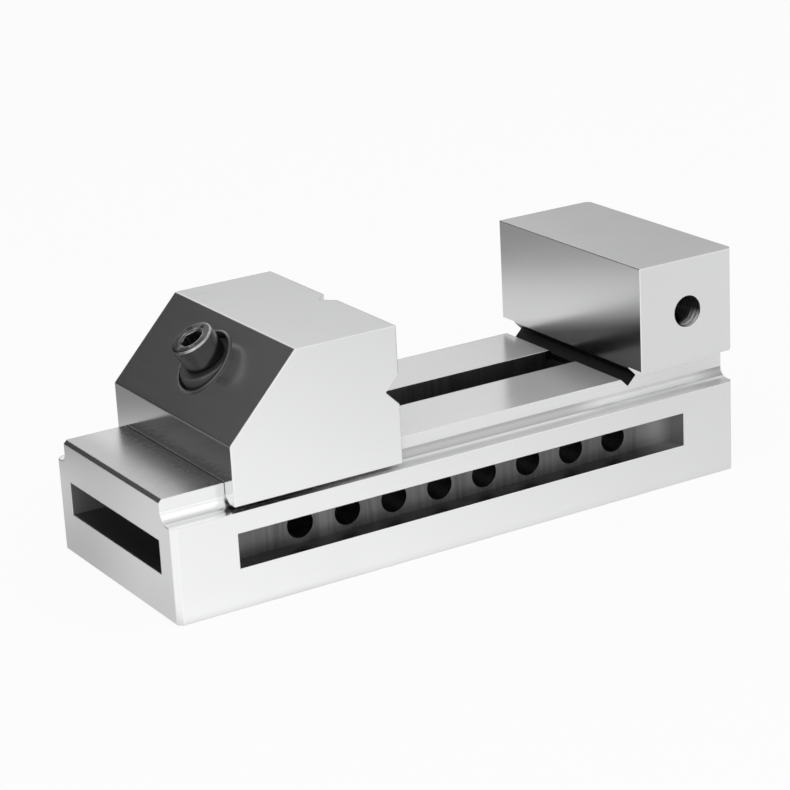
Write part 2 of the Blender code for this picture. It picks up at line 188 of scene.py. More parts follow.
def groundSteel(name, finish):
    material, tree, shader = newFinish(name)
    shader.inputs["Metallic"].default_value = 1
    where = tree.nodes.new("ShaderNodeTexCoord").outputs["Object"]
    facing = parts(tree, tree.nodes.new("ShaderNodeNewGeometry").outputs["Normal"])
    endwise = rise(tree, calc(tree, "ABSOLUTE", facing[0]), 0.5, 0.65)
    run, fine = finish["linesPerMetre"]
    along = brushed(tree, where, (run, fine, fine), 3)
    across = brushed(tree, where, (fine, run, fine), 3)
    lines = between(tree, endwise, along, across)
    cloud = grain(tree, where, finish["cloudsPerMetre"])
    scratch = calc(tree, "MULTIPLY", rise(tree, brushed(tree, where, finish["scratches"], 1), 0.68, 0.74),
                   rise(tree, facing[2], 0.5, 0.9))
    crisp = calc(tree, "GREATER_THAN", parts(tree, where)[0], finish["crispFrom"])
    normal, edge = wornEdges(tree, between(tree, crisp, finish["edgeWidth"], finish["crispWidth"]))
    tone = calc(tree, "ADD", calc(tree, "MULTIPLY", calc(tree, "SUBTRACT", lines, 0.5), finish["lineTone"]),
                calc(tree, "MULTIPLY", calc(tree, "SUBTRACT", cloud, 0.5), finish["cloudTone"]))
    # edges a little lighter: partly wear, partly a painted highlight
    tone = calc(tree, "ADD", tone, calc(tree, "MULTIPLY", edge, finish["edgeWearAndHighlight"]))
    tone = calc(tree, "ADD", tone, calc(tree, "MULTIPLY", scratch, finish["scratchTone"]))
    colour = tint(tree, 1.0, (*finish["colour"], 1), calc(tree, "ADD", tone, 1.0), "MULTIPLY")
    roughness = calc(tree, "ADD", finish["roughness"],
                     calc(tree, "MULTIPLY", calc(tree, "SUBTRACT", lines, 0.5), finish["lineRoughness"]))
    roughness = calc(tree, "ADD", roughness,
                     calc(tree, "MULTIPLY", calc(tree, "SUBTRACT", cloud, 0.5), finish["cloudRoughness"]))
    if "pockets" in finish:
        colour, roughness = openEnd(tree, where, facing, finish, colour, roughness)
        colour, roughness, dull, milled = milledWalls(tree, where, facing, finish, colour, roughness)
        plug(tree, shader.inputs["Metallic"], calc(tree, "SUBTRACT", 1.0, dull))
        flat = tree.nodes.new("ShaderNodeNewGeometry").outputs["Normal"]
        normal = vectorCalc(tree, "MULTIPLY", normal, calc(tree, "SUBTRACT", 1.0, milled))
        normal = vectorCalc(tree, "ADD", normal, vectorCalc(tree, "MULTIPLY", flat, milled))
    if "seatWallPaintedGrey" in finish:
        colour, roughness = slantedBack(tree, where, facing, finish, colour, roughness)
    plug(tree, shader.inputs["Base Color"], colour)
    plug(tree, shader.inputs["Roughness"], roughness)
    addBump(tree, shader, lines, finish["lineDepth"], normal)
    return material


def openEnd(tree, where, facing, finish, colour, roughness):
    # The bed behind the moving jaw is a little rougher and darker towards its open end; the ledges and
    # fillets get painted light and shade, and the clamp face's foot painted shade
    x = parts(tree, where)[0]
    openBed = insideBox(tree, where, *finish["openEndBed"])
    rougher = rise(tree, x, *finish["openEndFade"], finish["openEndRougher"], 0.0)
    roughness = calc(tree, "ADD", roughness, calc(tree, "MULTIPLY", openBed, rougher))
    zones = calc(tree, "MULTIPLY", clampShade(tree, where, facing, finish), ledgePaintedShade(tree, where, finish))
    endTone = rise(tree, x, *finish["openEndBlend"], finish["openEndTone"], 1.0)
    zones = calc(tree, "MULTIPLY", zones, between(tree, openBed, 1.0, endTone))
    return tint(tree, 1.0, colour, zones, "MULTIPLY"), roughness


def milledWalls(tree, where, facing, finish, colour, roughness):
    # Milled pockets get a dark colour, partly their milled finish and partly painted shade in the recesses,
    # and the side pockets' ends get painted light; dull is how much of the metal's mirror is gone
    milled = milledPockets(tree, where, finish)
    dull = calc(tree, "MULTIPLY", satinBed(tree, where, finish), calc(tree, "SUBTRACT", 1.0, milled))
    slotWall = calc(tree, "MULTIPLY", milled, endSlotWall(tree, where, facing, finish))
    dull = calc(tree, "MAXIMUM", dull, calc(tree, "MULTIPLY", slotWall, finish["slotWallDull"]))
    pocketEnd = calc(tree, "MULTIPLY", milled, sidePocketEnd(tree, where, finish))
    dull = calc(tree, "MAXIMUM", dull, calc(tree, "MULTIPLY", pocketEnd, finish["pocketEndDull"]))
    colour = tint(tree, milled, colour, milledAndShadedColour(tree, where, finish))
    colour = tint(tree, pocketEnd, colour, grey(finish["pocketEndTone"]))
    return colour, between(tree, milled, roughness, finish["pocketRoughness"]), dull, milled


def slantedBack(tree, where, facing, finish, colour, roughness):
    # The upright foot of the jaw's back with painted shade, and the swivel's seat: a painted grey wall and
    # a rim in painted shade that is lighter towards +Y
    x, y, z = parts(tree, where)
    lowBack = calc(tree, "MULTIPLY", calc(tree, "LESS_THAN", facing[0], -0.95),
                   calc(tree, "LESS_THAN", x, finish["lowBack"]))
    roughness = between(tree, lowBack, roughness, finish["lowBackRoughness"])
    # painted shade: the foot of the jaw's back is a little darker
    colour = tint(tree, 1.0, colour, between(tree, lowBack, 1.0, finish["lowBackPaintedShade"]), "MULTIPLY")
    rim, wall = seatRim(tree, where, finish)
    # painted shade on the seat's rim, lighter towards +Y as painted light
    rimPaintedLevel = rise(tree, y, *finish["rimFade"], *finish["rimPaintedLevels"])
    # painted grey on the seat's wall, set for how the shaded gap round the washer looks
    colour = tint(tree, wall, colour, grey(finish["seatWallPaintedGrey"]))
    colour = tint(tree, rim, colour, rimPaintedLevel)
    return colour, between(tree, calc(tree, "MAXIMUM", rim, wall), roughness, finish["rimRoughness"])


def satinBed(tree, where, finish):
    # The bed and its ledges are rubbed to a satin sheen between the jaws, less so at the fixed jaw
    worn = insideBox(tree, where, *finish["satinBox"])
    x, y, z = parts(tree, where)
    left = rise(tree, x, *finish["satinTo"], 1.0, finish["satinLeft"])
    left = between(tree, calc(tree, "GREATER_THAN", z, finish["satinTop"]), 1.0, left)
    sheen = calc(tree, "MULTIPLY", rise(tree, x, *finish["satinFrom"], 0.0, finish["satin"]), left)
    return calc(tree, "MULTIPLY", worn, sheen)


def sameBothSides(tree, where):
    # The place with Y counted from the middle, for zones that both sides share
    x, y, z = parts(tree, where)
    mirrored = tree.nodes.new("ShaderNodeCombineXYZ")
    for socket, value in zip(mirrored.inputs, (x, calc(tree, "ABSOLUTE", y), z)):
        plug(tree, socket, value)
    return mirrored.outputs[0]


def ledgePaintedShade(tree, where, finish):
    # Painted light and shade on the flanges beside the rails and their fillets: lighter at the open end,
    # darker towards the fixed jaw
    mirrored = sameBothSides(tree, where)
    tone = 1.0
    for box, tones in (("ledgeBox", "ledgePaintedLevels"), ("filletBox", "filletPaintedLevels")):
        level = stepsAlong(tree, parts(tree, where)[0], finish[tones])
        tone = between(tree, insideBox(tree, mirrored, *finish[box]), tone, level)
    return tone


def endSlotWall(tree, where, facing, finish):
    # Side walls of the slots in both ends
    x = calc(tree, "ABSOLUTE", parts(tree, where)[0])
    return calc(tree, "MULTIPLY", calc(tree, "GREATER_THAN", x, finish["endSlotFrom"]),
                calc(tree, "GREATER_THAN", calc(tree, "ABSOLUTE", facing[1]), 0.9))


def sidePocketEnd(tree, where, finish):
    # The side pockets' ends under the fixed jaw, which light reaches from the open side
    x, y, z = parts(tree, where)
    return calc(tree, "MULTIPLY", rise(tree, x, *finish["pocketEnd"]),
                calc(tree, "GREATER_THAN", calc(tree, "ABSOLUTE", y), finish["pocketFloor"]))


def clampShade(tree, where, facing, finish):
    # The foot of the fixed jaw's clamping face stands in its own shade, more so at the front
    x, y, z = parts(tree, where)
    height = calc(tree, "ADD", z, calc(tree, "MULTIPLY", y, finish["shadeLean"]))
    shade = rise(tree, height, *finish["shadeFade"], finish["shadeTone"], 1.0)
    onFace = calc(tree, "MULTIPLY", calc(tree, "LESS_THAN", facing[0], -0.9),
                  calc(tree, "GREATER_THAN", x, finish["clampFaceFrom"]))
    return between(tree, onFace, 1.0, shade)


def milledAndShadedColour(tree, where, finish):
    # Upright cutter marks on a dark grey that is partly milled finish and partly painted shade; painted
    # shade in the end slots and the undercut, and painted light towards the pocket ends at the fixed jaw
    # and on the end slots' side walls
    marks = calc(tree, "ADD", calc(tree, "MULTIPLY", grain(tree, where, finish["cutterMarks"], 3), 0.6),
                 calc(tree, "MULTIPLY", grain(tree, where, finish["cutterBands"], 1), 0.5))
    colour = tint(tree, marks, grey(finish["pocketTone"][0]), grey(finish["pocketTone"][1]))
    x, y, z = parts(tree, where)
    inEnd = rise(tree, calc(tree, "ABSOLUTE", x), *finish["endSlotFade"])
    # painted shade: the end slots get one flat dark grey
    colour = tint(tree, inEnd, colour, grey(finish["endSlotShade"]))
    undercutX, undercutZ = finish["undercutFrom"]
    undercut = calc(tree, "MULTIPLY", calc(tree, "GREATER_THAN", x, undercutX),
                    calc(tree, "GREATER_THAN", z, undercutZ))
    # painted shade: the undercut under the fixed jaw is almost black
    colour = tint(tree, undercut, colour, grey(finish["undercutShade"]))
    litPocketEnds = calc(tree, "MULTIPLY", rise(tree, x, *finish["litPocketEnds"]), calc(tree, "SUBTRACT", 1.0, inEnd))
    litPocketEnds = calc(tree, "MULTIPLY", litPocketEnds, calc(tree, "SUBTRACT", 1.0, undercut))
    litSlotWalls = calc(tree, "MULTIPLY", rise(tree, calc(tree, "ABSOLUTE", y), *finish["litSlotWalls"]), inEnd)
    # painted light: lighter pocket ends at the fixed jaw and lighter side walls in the end slots
    colour = tint(tree, litPocketEnds, colour, grey(finish["paintedLightTones"][0]))
    return tint(tree, litSlotWalls, colour, grey(finish["paintedLightTones"][1]))


def seatRim(tree, where, finish):
    # The raised rim of the swivel's seat, and the wall of the seat inside it
    out = Vector((-math.sin(finish["slant"]), 0, math.cos(finish["slant"])))
    up = Vector((math.cos(finish["slant"]), 0, math.sin(finish["slant"])))
    foot = Vector(finish["slantFoot"])
    height = calc(tree, "SUBTRACT", vectorCalc(tree, "DOT_PRODUCT", where, tuple(out)), foot.dot(out))
    along = calc(tree, "SUBTRACT", vectorCalc(tree, "DOT_PRODUCT", where, tuple(up)),
                 foot.dot(up) + finish["seatAlong"])
    away = length(tree, along, parts(tree, where)[1])
    inSeat = calc(tree, "MULTIPLY", calc(tree, "LESS_THAN", away, finish["seatRadius"]),
                  calc(tree, "GREATER_THAN", height, finish["seatFloor"]))
    onRim = calc(tree, "MULTIPLY", calc(tree, "LESS_THAN", away, finish["rimRadius"]),
                 calc(tree, "GREATER_THAN", height, finish["rimFloor"]))
    return onRim, inSeat


def milledPockets(tree, where, finish):
    # The slots, pockets and cross holes, whose walls get a dark colour that is partly milled finish and
    # partly painted shade
    mirrored = sameBothSides(tree, where)
    whole = 0.0
    for lower, upper in finish["pockets"]:
        whole = calc(tree, "MAXIMUM", whole, insideBox(tree, mirrored, lower, upper))
    return whole


def turnedSteel(name, finish):
    # Turned and blackened or hardened pieces: fine rings, worn bright edges, and where given painted
    # highlights on the screw head's rings and painted light at a hole's mouth
    material, tree, shader = newFinish(name)
    shader.inputs["Metallic"].default_value = finish["metal"]
    shader.inputs["Specular IOR Level"].default_value = 0.6
    where = tree.nodes.new("ShaderNodeTexCoord").outputs["Object"]
    rings = grain(tree, where, finish["ringsPerMetre"], 2)
    cloud = grain(tree, where, finish["cloudsPerMetre"], 3)
    normal, edge = wornEdges(tree, finish["edgeWidth"])
    patchy = rise(tree, grain(tree, where, finish["wearPerMetre"], 3), 0.3, 0.62)
    wornAndHighlit = calc(tree, "MULTIPLY", edge, patchy)
    if "wornAndHighlitRings" in finish:
        wornAndHighlit = calc(tree, "MAXIMUM", wornAndHighlit, wornAndHighlitRings(tree, where, patchy, finish["wornAndHighlitRings"]))
    base = tint(tree, cloud, (*finish["dark"], 1), (*finish["light"], 1))
    share = calc(tree, "MULTIPLY", wornAndHighlit, finish["wear"])
    if "mouthSide" in finish:
        share = calc(tree, "MAXIMUM", share, litMouth(tree, where, finish))
    plug(tree, shader.inputs["Base Color"], tint(tree, share, base, (*finish["bare"], 1)))
    uneven = calc(tree, "MULTIPLY", calc(tree, "SUBTRACT", rings, 0.5), 0.12)
    plug(tree, shader.inputs["Roughness"], calc(tree, "ADD", finish["roughness"], uneven))
    addBump(tree, shader, calc(tree, "ADD", rings, cloud), finish["bumpDepth"], normal)
    return material


def litMouth(tree, where, finish):
    # Light reaches one side of a hole, and only near its mouth
    x, y, z = parts(tree, where)
    towards = vectorCalc(tree, "DOT_PRODUCT", where, finish["mouthSide"])
    side = rise(tree, calc(tree, "DIVIDE", towards, length(tree, x, y)), *finish["mouthSides"])
    return calc(tree, "MULTIPLY", side, rise(tree, z, *finish["mouthDepths"]))


highlitSide = (0.5, -0.87, 0)  # the side of the screw head where its bare rings are brightest, a painted highlight


def wornAndHighlitRings(tree, where, patchy, rings):
    # Bare steel on rims and top, partly wear and partly a painted highlight that is brightest on one side,
    # given as inner radius, outer radius, lowest height in mm and share
    x, y, z = parts(tree, where)
    radius = length(tree, x, y)
    whole = 0.0
    for inner, outer, height, share in rings:
        ring = calc(tree, "MULTIPLY", rise(tree, radius, inner * mm, (inner + 0.2) * mm),
                    rise(tree, radius, outer * mm, (outer - 0.05) * mm))
        ring = calc(tree, "MULTIPLY", ring, rise(tree, z, height * mm, (height + 0.25) * mm, 0.0, share))
        whole = calc(tree, "MAXIMUM", whole, ring)
    # painted highlight: the rings are brightest on one side of the head
    side = calc(tree, "DIVIDE", vectorCalc(tree, "DOT_PRODUCT", where, highlitSide), radius)
    whole = calc(tree, "MULTIPLY", whole, rise(tree, side, -0.6, 0.7, 0.12, 1.0))
    return calc(tree, "MULTIPLY", whole, calc(tree, "ADD", calc(tree, "MULTIPLY", patchy, 0.5), 0.5))


# Meshes

def meshObject(name, bm, material, sharp=35):
    mesh = bpy.data.meshes.new(name)
    bmesh.ops.remove_doubles(bm, verts=bm.verts, dist=0.000001)
    bmesh.ops.recalc_face_normals(bm, faces=bm.faces)
    bm.to_mesh(mesh)
    bm.free()
    mesh.shade_smooth()
    mesh.set_sharp_from_angle(angle=math.radians(sharp))
    mesh.materials.append(material)
    thing = bpy.data.objects.new(name, mesh)
    bpy.context.scene.collection.objects.link(thing)
    return thing


def softened(profile, radius, steps=4):
    # Rounds each inner corner of a profile of radius and height
    points = [Vector(profile[0])]
    for before, corner, after in zip(profile, profile[1:], profile[2:]):
        before, corner, after = Vector(before), Vector(corner), Vector(after)
        reach = min(radius, (before - corner).length * 0.45, (after - corner).length * 0.45)
        start = corner + (before - corner).normalized() * reach
        end = corner + (after - corner).normalized() * reach
        for i in range(steps + 1):
            t = i / steps
            points.append(start * (1 - t) ** 2 + corner * 2 * t * (1 - t) + end * t ** 2)
    return points + [Vector(profile[-1])]


def ringRows(bm, rows, close=False):
    # Joins rings of points with faces; close joins the last ring to the first
    rings = [[bm.verts.new(point) for point in row] for row in rows]
    pairs = list(zip(rings, rings[1:])) + ([(rings[-1], rings[0])] if close else [])
    for lower, upper in pairs:
        for i in range(len(lower)):
            j = (i + 1) % len(lower)
            bm.faces.new((lower[i], lower[j], upper[j], upper[i]))
    return rings


def turnedRows(profile, steps):
    return [[(r * math.cos(a), r * math.sin(a), h) for a in (2 * math.pi * i / steps for i in range(steps))]
            for r, h in profile]


def threadWave(turns):
    # 0 at the root, 1 at the crest, with narrow flats at both
    t = turns % 1
    return min(1.0, max(0.0, (0.5 - abs(t - 0.5)) * 2.6 - 0.3))


def alongJoint(name):
    joint = joints[name]
    turn = Vector((0, 0, 1)).rotation_difference(Vector(joint["axis"]))
    return Matrix.Translation(joint["pos_m"]) @ turn.to_matrix().to_4x4()


# Vise body and moving jaw keep their solids and get ground surfaces

bodySteel = {
    "colour": (0.858, 0.86, 0.862),
    "roughness": 0.2,
    "linesPerMetre": (30, 2600),
    "lineTone": 0.05,
    "lineRoughness": 0.12,
    "lineDepth": 0.0000012,
    "cloudsPerMetre": 34,
    "cloudTone": 0.05,
    "cloudRoughness": 0.06,
    "scratches": (55, 1100, 1100),
    "scratchTone": -0.07,
    "edgeWidth": 0.0005,
    "crispFrom": 58 * mm,  # the fixed jaw's edges are crisper
    "crispWidth": 0.0002,
    "edgeWearAndHighlight": 0.06,
    "cutterMarks": (900, 900, 40),
    "cutterBands": (190, 190, 25),
    "pocketTone": (0.03, 0.25),
    "pocketRoughness": 0.42,
    "endSlotFade": (80 * mm, 84 * mm),
    # painted shade in the end slots
    "endSlotShade": 0.17,
    "endSlotFrom": 84.1 * mm,  # from the middle of the vise
    "slotWallDull": 0.13,
    "pocketEnd": (65 * mm, 74 * mm),
    "pocketFloor": 29.8 * mm,  # from the middle plane
    "pocketEndTone": 0.38,
    "pocketEndDull": 0.2,
    "undercutFrom": (56.9 * mm, 31.9 * mm),  # X and Z
    # painted shade in the undercut
    "undercutShade": 0.04,
    # painted light at the pocket ends and on the end slots' side walls
    "litPocketEnds": (60 * mm, 67 * mm),
    "litSlotWalls": (27.9 * mm, 28.1 * mm),
    "paintedLightTones": (0.22, 0.5),  # side windows, end slots
    "satin": 0.5,
    "satinBox": ((-76, -36.4, 28.04), (95.6, 36.4, 35.05)),
    "satinFrom": (-60 * mm, -25 * mm),
    "satinTo": (38 * mm, 58 * mm),
    "satinLeft": 0.68,  # of the satin above satinTop, past satinTo
    "satinTop": 33 * mm,
    "clampFaceFrom": 60 * mm,
    "shadeTone": 0.29,
    "shadeLean": 0.29,
    "shadeFade": (41.3 * mm, 48.3 * mm),
    "openEndBed": ((-95.6, -30.2, 34.9), (-70, 30.2, 35.1)),
    "openEndFade": (-82 * mm, -74 * mm),
    "openEndRougher": 0.09,
    "openEndTone": 0.78,
    "openEndBlend": (-92 * mm, -83 * mm),
    # painted light and shade on the ledges and fillets, along X
    "ledgeBox": ((-95.6, 30.4, 28.0), (95.6, 36.4, 28.3)),  # one side, in mm; the other is the same
    "filletBox": ((-95.6, 30.02, 28.3), (95.6, 31.4, 31.3)),
    "ledgePaintedLevels": [(-80, 1.16), (-20, 0.91), (70, 0.9), (95, 0.76)],  # place along X in mm, tone
    "filletPaintedLevels": [(-80, 1.15), (-20, 0.61), (38, 0.58), (52, 0.86), (82, 0.84), (95, 0.5)],
    "pockets": [  # lowest and highest corners in mm, the same on both sides
        ((-76.0, 29.9, 11.7), (76.4, 36.3, 22.2)),
        ((-95.6, -1, 12.6), (-84.2, 28.3, 22.8)),
        ((84.2, -1, 12.6), (95.6, 28.3, 22.8)),
        ((-80.4, -1, -1), (59.7, 16.1, 17.4)),
        ((-75.2, -1, 17.2), (59.7, 7.1, 34.9)),
        ((-58, 7, 12.8), (59.5, 30.2, 21.6)),
        ((57, -1, 32), (64, 30, 34.95)),
        ((61.2, -1, 34.9), (64, 30, 37.9)),
    ],
}
jawSteel = {
    **{key: bodySteel[key] for key in bodySteel if key != "pockets"},
    "colour": (0.857, 0.86, 0.863),
    "cloudsPerMetre": 29,
    "slant": 0.814215,
    "slantFoot": (-75.75 * mm, 0, 46.8 * mm),
    "seatAlong": 17.4 * mm,
    "seatRadius": 9.75 * mm,
    "seatFloor": -14 * mm,  # both heights are from the slanted face
    "rimRadius": 10.6 * mm,
    "rimFloor": -0.1 * mm,
    # painted shade and light on the seat's rim, and a painted grey on its wall
    "rimFade": (-6 * mm, 1 * mm),
    "rimPaintedLevels": (0.13, 0.36),
    "seatWallPaintedGrey": 0.5,
    # painted shade on the foot of the jaw's back
    "lowBack": -75 * mm,
    "lowBackRoughness": 0.13,
    "lowBackPaintedShade": 0.92,
    "rimRoughness": 0.42,
}


def dressBody():
    nodes["vise_body"].data.materials.clear()
    nodes["vise_body"].data.materials.append(groundSteel("ground steel body", bodySteel))
    nodes["moving_jaw"].data.materials.clear()
    nodes["moving_jaw"].data.materials.append(groundSteel("ground steel jaw", jawSteel))
    print("body and moving jaw dressed")


# Pull-down screw: black socket-head screw with a rolled thread

screwLook = {
    "headRadius": 6.4 * mm,
    "headHeight": 8 * mm,
    "headSeat": 4.05 * mm,  # above the swivel
    "cornerRadius": 0.75 * mm,
    "socketWidth": 6 * mm,
    "socketDepth": 4 * mm,
    "socketMouth": 0.35 * mm,
    "shankRadius": 4 * mm,
    "length": 60 * mm,
    "threadLength": 28 * mm,
    "pitch": 1.25 * mm,
    "threadDepth": 0.66 * mm,
    "steps": 96,
}
blackOxide = {
    "metal": 0.85,
    "dark": (0.036, 0.036, 0.037),
    "light": (0.08, 0.08, 0.082),
    "bare": (0.8, 0.8, 0.79),
    "roughness": 0.21,
    "wornAndHighlitRings": [(5.85, 6.6, 11.3, 1.0), (3.0, 4.1, 11.65, 1.0), (4.0, 6.0, 11.8, 0.18)],
    "ringsPerMetre": (250, 250, 1500),
    "cloudsPerMetre": 260,
    "wearPerMetre": 420,
    "wear": 0.75,
    "edgeWidth": 0.00045,
    "bumpDepth": 0.000004,
}


def hexagonRow(width, height, steps, offset=0.0):
    # A ring of points on a hexagon, as many as the turned rows have
    row = []
    for i in range(steps):
        angle = 2 * math.pi * i / steps
        fromFlat = (angle + offset + math.pi / 6) % (math.pi / 3) - math.pi / 6
        radius = width / 2 / math.cos(fromFlat)
        row.append((radius * math.cos(angle), radius * math.sin(angle), height))
    return row


def threadedRows(look, top, tip):
    rows = []
    count = int((top - tip) / look["pitch"] * 10)
    for k in range(count + 1):
        height = top + (tip - top) * k / count
        fade = min(1, (top - height) / look["pitch"] / 1.5, (height - tip) / look["pitch"] + 0.2)
        taper = max(0.0, 1 - (height - tip) / look["pitch"])
        row = []
        for i in range(look["steps"]):
            angle = 2 * math.pi * i / look["steps"]
            wave = threadWave(height / look["pitch"] - i / look["steps"])
            cut = look["threadDepth"] * (1 - wave) * fade + 0.5 * mm * taper * taper
            radius = look["shankRadius"] - min(cut, 0.85 * mm)
            row.append((radius * math.cos(angle), radius * math.sin(angle), height))
        rows.append(row)
    return rows


def makePullDownScrew(look, material):
    seat = look["headSeat"]
    top = seat + look["headHeight"]
    mouth = look["socketWidth"] / 2 + look["socketMouth"] + 0.46 * mm
    outer = [(mouth, top), (look["headRadius"], top),
             (look["headRadius"], seat), (look["shankRadius"], seat)]
    profile = softened(outer, look["cornerRadius"], 6)
    steps = look["steps"]
    rows = [[(0, 0, top - look["socketDepth"] - 0.9 * mm)] * steps,
            hexagonRow(look["socketWidth"], top - look["socketDepth"], steps),
            hexagonRow(look["socketWidth"], top - look["socketMouth"] * 1.4, steps)]
    rows += turnedRows(profile, steps)
    tip = seat - look["length"]
    rows += threadedRows(look, tip + look["threadLength"], tip)
    rows.append([(0, 0, tip)] * steps)
    bm = bmesh.new()
    ringRows(bm, rows)
    screw = meshObject("blackSocketScrew", bm, material, 32)
    screw.matrix_world = alongJoint("screw_turn")
    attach(screw, "screw")
    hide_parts("pull_down_screw")
    return screw


# Ball washer in the seat of the slanted face

washerLook = {
    "ballRadius": 9.35 * mm,
    "rise": 3.75 * mm,
    "drop": 3 * mm,
    "bore": 4.3 * mm,
    "steps": 128,
}
washerSteel = {
    "metal": 0.6,
    "dark": (0.05, 0.05, 0.05),
    "light": (0.075, 0.075, 0.074),
    "bare": (0.7, 0.7, 0.69),
    "roughness": 0.5,
    "ringsPerMetre": (300, 300, 2600),
    "cloudsPerMetre": 150,
    "wearPerMetre": 300,
    "wear": 0.5,
    "edgeWidth": 0.0003,
    "bumpDepth": 0.000003,
}


def makeBallWasher(look, material):
    high, low = math.asin(look["rise"] / look["ballRadius"]), -math.asin(look["drop"] / look["ballRadius"])
    ball = [(look["ballRadius"] * math.cos(a), look["ballRadius"] * math.sin(a))
            for a in (high + (low - high) * i / 24 for i in range(25))]
    bore = look["bore"]
    profile = [(bore, look["rise"] - 0.3 * mm), (bore + 0.3 * mm, look["rise"]),
               (ball[0][0] - 0.25 * mm, look["rise"]), *ball[1:-1],
               (ball[-1][0] - 0.2 * mm, -look["drop"]), (bore, -look["drop"])]
    bm = bmesh.new()
    ringRows(bm, turnedRows(profile, look["steps"]), close=True)
    washer = meshObject("ballWasher", bm, material, 32)
    washer.matrix_world = alongJoint("screw_turn")
    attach(washer, "swivel")
    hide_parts("swivel_washer")
    return washer


# Thread in the stop hole of the fixed jaw

stopThread = {
    "centre": (78.45 * mm, 53.7 * mm),  # X and Z
    "face": -36.5 * mm,
    "holeRadius": 4.82 * mm,
    "threadDepth": 0.75 * mm,
    "pitch": 1.5 * mm,
    "length": 14 * mm,
    "mouth": 0.5 * mm,
    "steps": 72,
}
# Painted shade: the tapped thread is almost black deep in the hole, with painted light on one side near its
# mouth
shadedHoleSteel = {
    **{key: blackOxide[key] for key in blackOxide if key != "wornAndHighlitRings"},
    "metal": 1,
    "dark": (0.004, 0.004, 0.004),
    "light": (0.014, 0.014, 0.014),
    "bare": (0.7, 0.7, 0.7),
    "wear": 0.12,
    "edgeWidth": 0.0002,
    "mouthSide": (0.4, -0.92, 0),  # the side of the hole that the light reaches
    "mouthSides": (0.4, 1.0, 0.0, 0.5),
    "mouthDepths": (-5 * mm, -0.3 * mm),
}


def makeStopThread(look, material):
    count = int(look["length"] / look["pitch"] * 10)
    inner = []
    for k in range(count + 1):
        depth = look["length"] * k / count
        full = min(1.0, depth / look["mouth"] / 1.6)
        row = []
        for i in range(look["steps"]):
            angle = 2 * math.pi * i / look["steps"]
            wave = threadWave(depth / look["pitch"] - i / look["steps"])
            radius = look["holeRadius"] - 0.03 * mm - look["threadDepth"] * wave * full
            row.append((radius * math.cos(angle), radius * math.sin(angle), -depth))
        inner.append(row)
    outer = turnedRows([(look["holeRadius"], -look["length"]), (look["holeRadius"], 0)], look["steps"])
    bm = bmesh.new()
    ringRows(bm, inner + outer, close=True)
    thread = meshObject("stopHoleThread", bm, material, 25)
    x, z = look["centre"]
    place = Matrix.Translation((x, look["face"] + 0.15 * mm, z))
    thread.matrix_world = place @ Matrix.Rotation(math.pi / 2, 4, "X")
    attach(thread, "base")
    return thread


# Small steel under the bed

nutSteel = {
    **washerSteel,
    "dark": (0.30, 0.30, 0.30),
    "light": (0.42, 0.42, 0.41),
    "ringsPerMetre": (300, 2600, 300),
}
keeperSteel = {
    **washerSteel,
    "dark": (0.13, 0.13, 0.135),
    "light": (0.22, 0.22, 0.22),
    "ringsPerMetre": (60, 2200, 2200),
    "roughness": 0.4,
}


def dressSmallSteel(screwMaterial):
    for node, material in (("cross_nut", turnedSteel("turned nut steel", nutSteel)),
                           ("keeper_plate", turnedSteel("hardened keeper steel", keeperSteel)),
                           ("keeper_screw_front", screwMaterial), ("keeper_screw_back", screwMaterial)):
        nodes[node].data.materials.clear()
        nodes[node].data.materials.append(material)
    print("nut, keeper and keeper screws dressed")


# Studio: pale floor, soft lamps, and a dark screen behind to the left that only the metal sees

studio = {
    "floorSize": 8,
    "floorColour": 0.9,
    "floorLift": 0.9,  # how far the floor is lifted to white
    "worldLight": 0.55,
    "frontTone": 1.11,  # the floor as the metal sees it: in front, behind, far behind, to the right
    "behindTone": 0.73,
    "behindFade": (-0.042, -0.032),
    "farTone": 0.31,
    "farLean": -0.82,
    "farFade": (0.178, 0.262),
    "footPlace": -0.096,  # the floor's glow, as the metal sees it, is painted darker close to the open end, as contact shade
    "footReach": 0.022,
    "footTone": 0.88,
    "streakLean": 1.671,  # and painted darker, as shade, along a streak that the back half of the end face mirrors
    "streakPlace": -0.133,
    "streakReach": 0.042,
    "streakTone": 0.74,
    "rightTone": 0.71,
    "rightFade": (-0.1, 0.14),
    "skyFade": (0.22, 0.35),
    "skyTones": (0.4, 0.89),
    "skyRight": (0.858, -0.513, 0),
    "skyRightFade": (-0.03, 0.1),
    "skyRightTone": 0.8,
    "skyFrontFade": (-0.3, -0.65),  # the sky above the floor in front, which the ledges mirror
    "skyFrontTone": 1.05,
    "screenFade": (0.345, 0.4),
    "screenTones": (0.01, 0.07),
    "screenSide": (-0.315, -0.35),
    "screenSideTone": 1.4,
    "screenAt": (-0.4, 0.9165, 0),  # narrow from side to side, tall from the floor up
    "screenEdge": (0.912, 0.97),
    "screenTop": (0.85, 0.55),
    "lamps": [  # place, size, power
        ((-0.7, -1.0, 1.2), 2.2, 13),
        ((0.9, -0.5, 1.1), 2.2, 4),
    ],
}


def rayKinds(tree):
    kinds = tree.nodes.new("ShaderNodeLightPath").outputs
    return kinds["Is Camera Ray"], kinds["Is Glossy Ray"], kinds["Is Transmission Ray"]


